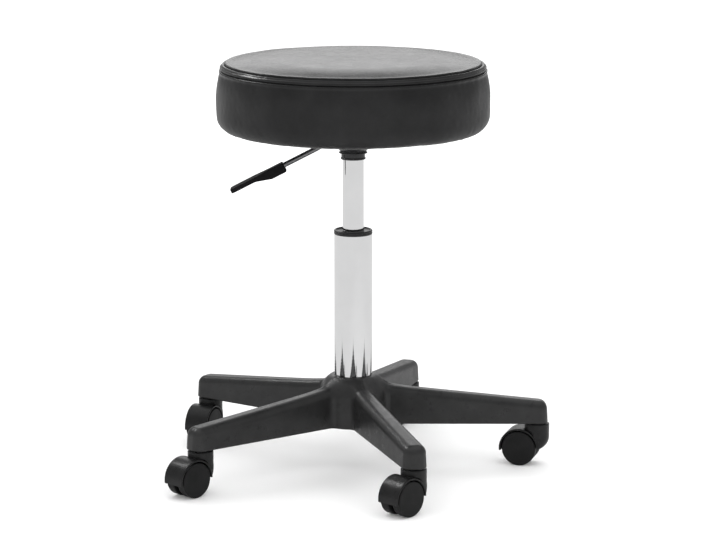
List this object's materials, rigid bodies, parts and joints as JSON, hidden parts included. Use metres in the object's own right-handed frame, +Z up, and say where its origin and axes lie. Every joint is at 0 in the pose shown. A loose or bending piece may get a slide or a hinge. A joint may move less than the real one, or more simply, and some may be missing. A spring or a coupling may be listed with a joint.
{
  "type": "rolling stool",
  "caption": "Round padded stool on a gas lift: a lever under the seat sets the height, the seat turns, and a star base with hooded twin-wheel casters lets it roll.",
  "frame": {"origin": "on the floor, on the column's axis", "axes": "+Z up along the column; the height lever points to about -X, turned 14 degrees towards -Y"},
  "size_m": [0.5003, 0.5161, 0.5433],
  "materials": {
    "black_leatherette": "semi-matte grained leatherette",
    "seat_foam": "open-cell foam",
    "plywood": "sanded",
    "black_lining": "felt",
    "chrome": "polished",
    "black_steel": "satin black",
    "bright_steel": "zinc plated",
    "black_nylon": "satin moulded",
    "wheel_nylon": "satin moulded",
    "black_plastic": "semi-gloss moulded",
    "rubber": "matte"
  },
  "bodies": {
    "base": {"star_base": "black_nylon", "hub_ring": "bright_steel", "stand_tube": "chrome", "guide_bush": "black_plastic", "lower_race": "bright_steel", "caster_stem_1": "bright_steel", "caster_stem_2": "bright_steel", "caster_stem_3": "bright_steel", "caster_stem_4": "bright_steel", "caster_stem_5": "bright_steel"},
    "bearing_cage": {"ball_cage": "black_plastic"},
    "spindle": {"piston_rod": "bright_steel", "piston": "black_plastic", "upper_race": "bright_steel", "bump_stop": "rubber", "rod_clip": "bright_steel"},
    "seat": {"pressure_tube": "chrome", "rod_guide": "black_plastic", "seat_collar": "black_steel", "seat_plate": "black_steel", "seat_bolt_1": "bright_steel", "seat_bolt_2": "bright_steel", "seat_bolt_3": "bright_steel", "seat_bolt_4": "bright_steel", "seat_board": "plywood", "bottom_lining": "black_lining", "seat_foam": "seat_foam", "seat_cover": "black_leatherette", "lever_pivot_pin": "bright_steel"},
    "lever": {"lever_rod": "black_steel", "lever_paddle": "black_plastic"},
    "release_pin": {"release_pin": "bright_steel"},
    "caster_1": {"caster_hood_1": "black_nylon", "caster_axle_1": "bright_steel"},
    "wheel_1_left": {"wheel_1_left": "wheel_nylon"},
    "wheel_1_right": {"wheel_1_right": "wheel_nylon"},
    "caster_2": {"caster_hood_2": "black_nylon", "caster_axle_2": "bright_steel"},
    "wheel_2_left": {"wheel_2_left": "wheel_nylon"},
    "wheel_2_right": {"wheel_2_right": "wheel_nylon"},
    "caster_3": {"caster_hood_3": "black_nylon", "caster_axle_3": "bright_steel"},
    "wheel_3_left": {"wheel_3_left": "wheel_nylon"},
    "wheel_3_right": {"wheel_3_right": "wheel_nylon"},
    "caster_4": {"caster_hood_4": "black_nylon", "caster_axle_4": "bright_steel"},
    "wheel_4_left": {"wheel_4_left": "wheel_nylon"},
    "wheel_4_right": {"wheel_4_right": "wheel_nylon"},
    "caster_5": {"caster_hood_5": "black_nylon", "caster_axle_5": "bright_steel"},
    "wheel_5_left": {"wheel_5_left": "wheel_nylon"},
    "wheel_5_right": {"wheel_5_right": "wheel_nylon"}
  },
  "joints": [
    {"name": "seat_swivel", "type": "hinge", "parent": "base", "child": "spindle", "pos_m": [0, 0, 0.0765], "axis": [0, 0, 1], "continuous": true},
    {"name": "bearing_turn", "type": "hinge", "parent": "base", "child": "bearing_cage", "pos_m": [0, 0, 0.07302], "axis": [0, 0, 1], "continuous": true},
    {"name": "seat_height", "type": "slide", "parent": "spindle", "child": "seat", "axis": [0, 0, 1], "range_m": [-0.08, 0.045]},
    {"name": "lever_lift", "type": "hinge", "parent": "seat", "child": "lever", "pos_m": [-0.01844, -0.0046, 0.43782], "axis": [-0.2419, 0.9703, 0], "range_deg": [0, 6], "stiffness_Nm_per_rad": 5},
    {"name": "release_press", "type": "slide", "parent": "seat", "child": "release_pin", "axis": [0, 0, -1], "range_m": [0, 0.002]},
    {"name": "caster_1_swivel", "type": "hinge", "parent": "base", "child": "caster_1", "pos_m": [0.23559, 0.05874, 0.05622], "axis": [0, 0, 1], "continuous": true},
    {"name": "wheel_1_left_roll", "type": "hinge", "parent": "caster_1", "child": "wheel_1_left", "pos_m": [0.21561, 0.05961, 0.02272], "axis": [0.0436, 0.999, 0], "continuous": true},
    {"name": "wheel_1_right_roll", "type": "hinge", "parent": "caster_1", "child": "wheel_1_right", "pos_m": [0.21561, 0.05961, 0.02272], "axis": [0.0436, 0.999, 0], "continuous": true},
    {"name": "caster_2_swivel", "type": "hinge", "parent": "base", "child": "caster_2", "pos_m": [0.01694, 0.24221, 0.05622], "axis": [0, 0, 1], "continuous": true},
    {"name": "wheel_2_left_roll", "type": "hinge", "parent": "caster_2", "child": "wheel_2_left", "pos_m": [0.00255, 0.22831, 0.02272], "axis": [-0.6947, 0.7193, 0], "continuous": true},
    {"name": "wheel_2_right_roll", "type": "hinge", "parent": "caster_2", "child": "wheel_2_right", "pos_m": [0.00255, 0.22831, 0.02272], "axis": [-0.6947, 0.7193, 0], "continuous": true},
    {"name": "caster_3_swivel", "type": "hinge", "parent": "base", "child": "caster_3", "pos_m": [-0.22512, 0.09095, 0.05622], "axis": [0, 0, 1], "continuous": true},
    {"name": "wheel_3_left_roll", "type": "hinge", "parent": "caster_3", "child": "wheel_3_left", "pos_m": [-0.22842, 0.07123, 0.02272], "axis": [-0.9863, 0.165, 0], "continuous": true},
    {"name": "wheel_3_right_roll", "type": "hinge", "parent": "caster_3", "child": "wheel_3_right", "pos_m": [-0.22842, 0.07123, 0.02272], "axis": [-0.9863, 0.165, 0], "continuous": true},
    {"name": "caster_4_swivel", "type": "hinge", "parent": "base", "child": "caster_4", "pos_m": [-0.15607, -0.186, 0.05622], "axis": [0, 0, 1], "continuous": true},
    {"name": "wheel_4_left_roll", "type": "hinge", "parent": "caster_4", "child": "wheel_4_left", "pos_m": [-0.16637, -0.20314, 0.02272], "axis": [-0.8572, 0.515, 0], "continuous": true},
    {"name": "wheel_4_right_roll", "type": "hinge", "parent": "caster_4", "child": "wheel_4_right", "pos_m": [-0.16637, -0.20314, 0.02272], "axis": [-0.8572, 0.515, 0], "continuous": true},
    {"name": "caster_5_swivel", "type": "hinge", "parent": "base", "child": "caster_5", "pos_m": [0.12866, -0.20591, 0.05622], "axis": [0, 0, 1], "continuous": true},
    {"name": "wheel_5_left_roll", "type": "hinge", "parent": "caster_5", "child": "wheel_5_left", "pos_m": [0.11866, -0.22323, 0.02272], "axis": [-0.866, 0.5, 0], "continuous": true},
    {"name": "wheel_5_right_roll", "type": "hinge", "parent": "caster_5", "child": "wheel_5_right", "pos_m": [0.11866, -0.22323, 0.02272], "axis": [-0.866, 0.5, 0], "continuous": true}
  ],
  "couplings": [
    {"joint": "bearing_turn", "follows": "seat_swivel", "ratio": 0.5},
    {"joint": "release_press", "follows": "lever_lift", "m_per_rad": 0.019}
  ]
}
